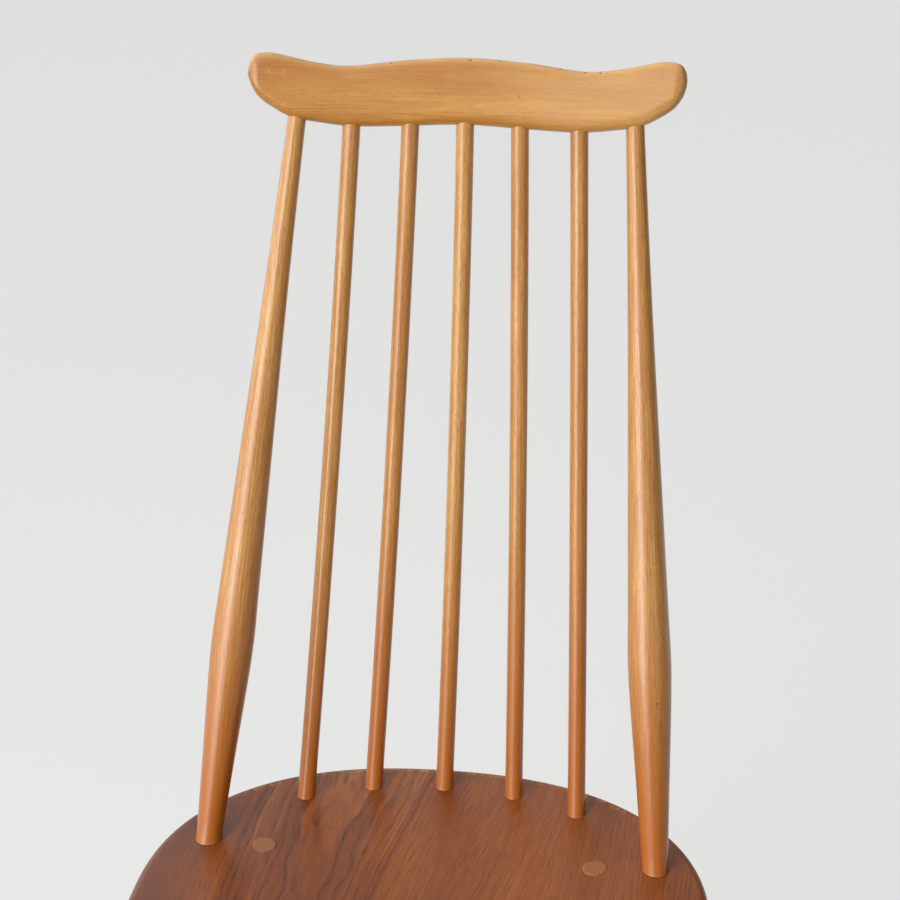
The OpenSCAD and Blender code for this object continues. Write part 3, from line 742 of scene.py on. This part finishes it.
seat, seat_rim = seat_rings()
skin("seat_board", seat, seat, elm("elm_seat"), "seat", seat_rim)
crest, crest_grain, crest_rim = crest_rings()
beech_crest = beech("beech_crest", shift=(-0.02, -0.12, 3.0), rings=0.16, flecks=0.26, depth=0.42,
                    coat=(0.75, 0.24), extra=crest_wear_and_painted_light)
skin("crest", crest, crest_grain, beech_crest, "crest_rail", crest_rim)
beech_back = beech("beech_back", extra=stick_wear_and_painted_bounce)
for i, (node, stick) in enumerate(BACK.items()):
    make_stick(stick, node, beech_back, BACK_SEED + i, TONES[node])
beech_legs = beech("beech_legs", coat=(0.45, 0.30), extra=leg_ends)
for i, node in enumerate(STRETCHERS):
    make_stick(Stick(node), node, beech_legs, STRETCHER_SEED + i, PLAIN_TONE)
for i, (node, stick) in enumerate(TURNED.items()):
    make_leg(stick, node, beech_legs, LEG_SEED + i)


# ---- Floor, light and camera ---------------------------------------------

FLOOR_REACH = 40.0  # metres to each side
FLOOR_TONE = (0.275, 0.275, 0.271, 1)
FLOOR_GLOW = 0.56  # added where the camera or the lacquer sees the floor
FLOOR_GLOW_TONE = (1, 1, 0.99, 1)
WORLD_TONE = (0.97, 0.985, 1.0, 1)
WORLD_GLOW = 0.33  # on the chair
WORLD_SEEN = 0.78  # as the camera's backdrop
CHAIR_BACK = (0, 0.05, 0.6)  # what the lamps point at
CHAIR_MIDDLE = (0, 0, 0.6)
WARM = (1.0, 0.97, 0.93)
COOL = (0.95, 0.97, 1.0)


def make_floor():
    mesh = bpy.data.meshes.new("floor")
    r = FLOOR_REACH
    mesh.from_pydata([(-r, -r, 0), (r, -r, 0), (r, r, 0), (-r, r, 0)], [], [(0, 1, 2, 3)])
    s = Shader(bpy.data.materials.new("floor"))
    rays = s.node("ShaderNodeLightPath").outputs
    seen = s.math("MAXIMUM", rays["Is Glossy Ray"], rays["Is Transmission Ray"])
    seen = s.math("MAXIMUM", rays["Is Camera Ray"], seen)
    s.set(Base_Color=FLOOR_TONE, Roughness=0.9, Specular_IOR_Level=0.1,
          Emission_Color=FLOOR_GLOW_TONE, Emission_Strength=s.math("MULTIPLY", seen, FLOOR_GLOW))
    mesh.materials.append(s.owner)
    floor = bpy.data.objects.new("floor", mesh)
    bpy.context.scene.collection.objects.link(floor)


def make_world():
    """A pale studio. The camera sees an even backdrop. What lights the chair is dimmer on its
    right and brighter high on its left. Its lacquer mirrors that with a paler wall behind the
    chair and far left, and darker ones in front and on the right."""
    world = bpy.data.worlds.new("studio")
    bpy.context.scene.world = world
    s = Shader(world)
    x, y, z = s.split(s.node("ShaderNodeTexCoord").outputs["Generated"])
    rays = s.node("ShaderNodeLightPath").outputs
    high = s.math("SUBTRACT", s.math("MULTIPLY", z, 0.8), s.math("MULTIPLY", x, 0.6))
    shade = s.math("MULTIPLY", s.band(x, -0.2, 0.9, 1.0, 0.18), s.band(high, 0.2, 0.95, 1.0, 3.0))
    behind = s.math("MULTIPLY", s.band(y, -0.3, 0.4, 0.30, 0.62), s.band(x, 0.05, 0.40, 1.0, 0.4))
    wall = s.math("ADD", behind, s.band(x, -0.9, -0.4, 0.5, 0.0))
    mirrored = s.math("MULTIPLY", shade, wall)
    mirror = s.math("MAXIMUM", rays["Is Glossy Ray"], rays["Is Transmission Ray"])
    glow = s.math("MULTIPLY", shade, WORLD_GLOW)
    for share, other in ((mirror, mirrored), (rays["Is Camera Ray"], WORLD_SEEN)):
        glow = s.math("ADD", glow, s.math("MULTIPLY", share, s.math("SUBTRACT", other, glow)))
    back = s.tree.nodes["Background"]
    s.feed(back.inputs["Color"], WORLD_TONE)
    s.feed(back.inputs["Strength"], glow)


def make_lamp(name, place, target, width, height, watts, colour):
    data = bpy.data.lights.new(name, "AREA")
    data.shape = "RECTANGLE"
    data.size, data.size_y = width, height
    data.energy = watts
    data.color = colour
    lamp = bpy.data.objects.new(name, data)
    lamp.location = place
    lamp.rotation_euler = (Vector(target) - Vector(place)).to_track_quat("-Z", "Y").to_euler()
    bpy.context.scene.collection.objects.link(lamp)


def make_camera():
    """The camera of the photograph: its shot isn't level, so its axes are worked out in full."""
    yaw, pitch, roll = (math.radians(a) for a in (CAMERA_YAW, CAMERA_PITCH, CAMERA_ROLL))
    ahead = Vector((-math.sin(yaw), math.cos(yaw), 0))
    side = Vector((math.cos(yaw), math.sin(yaw), 0))
    look = ahead * math.cos(pitch) - Vector((0, 0, math.sin(pitch)))
    up = side.cross(look)
    right = side * math.cos(roll) + up * math.sin(roll)
    up = right.cross(look)
    data = bpy.data.cameras.new("camera")
    data.lens = CAMERA_LENS
    data.sensor_width = SENSOR
    camera = bpy.data.objects.new("camera", data)
    camera.matrix_world = Matrix((
        (right.x, up.x, -look.x, CAMERA_PLACE.x),
        (right.y, up.y, -look.y, CAMERA_PLACE.y),
        (right.z, up.z, -look.z, CAMERA_PLACE.z),
        (0, 0, 0, 1)))
    bpy.context.scene.collection.objects.link(camera)
    bpy.context.scene.camera = camera


make_floor()
make_world()
make_lamp("window", (-1.54, -2.10, 1.85), CHAIR_BACK, width=1.2, height=1.9, watts=27, colour=WARM)
make_lamp("room", (-1.60, -2.18, 1.90), CHAIR_BACK, width=2.6, height=2.3, watts=51, colour=WARM)
make_lamp("fill", (1.90, -2.00, 2.0), CHAIR_MIDDLE, width=2.4, height=2.0, watts=9, colour=COOL)
make_camera()
bpy.context.scene.view_settings.view_transform = "Standard"
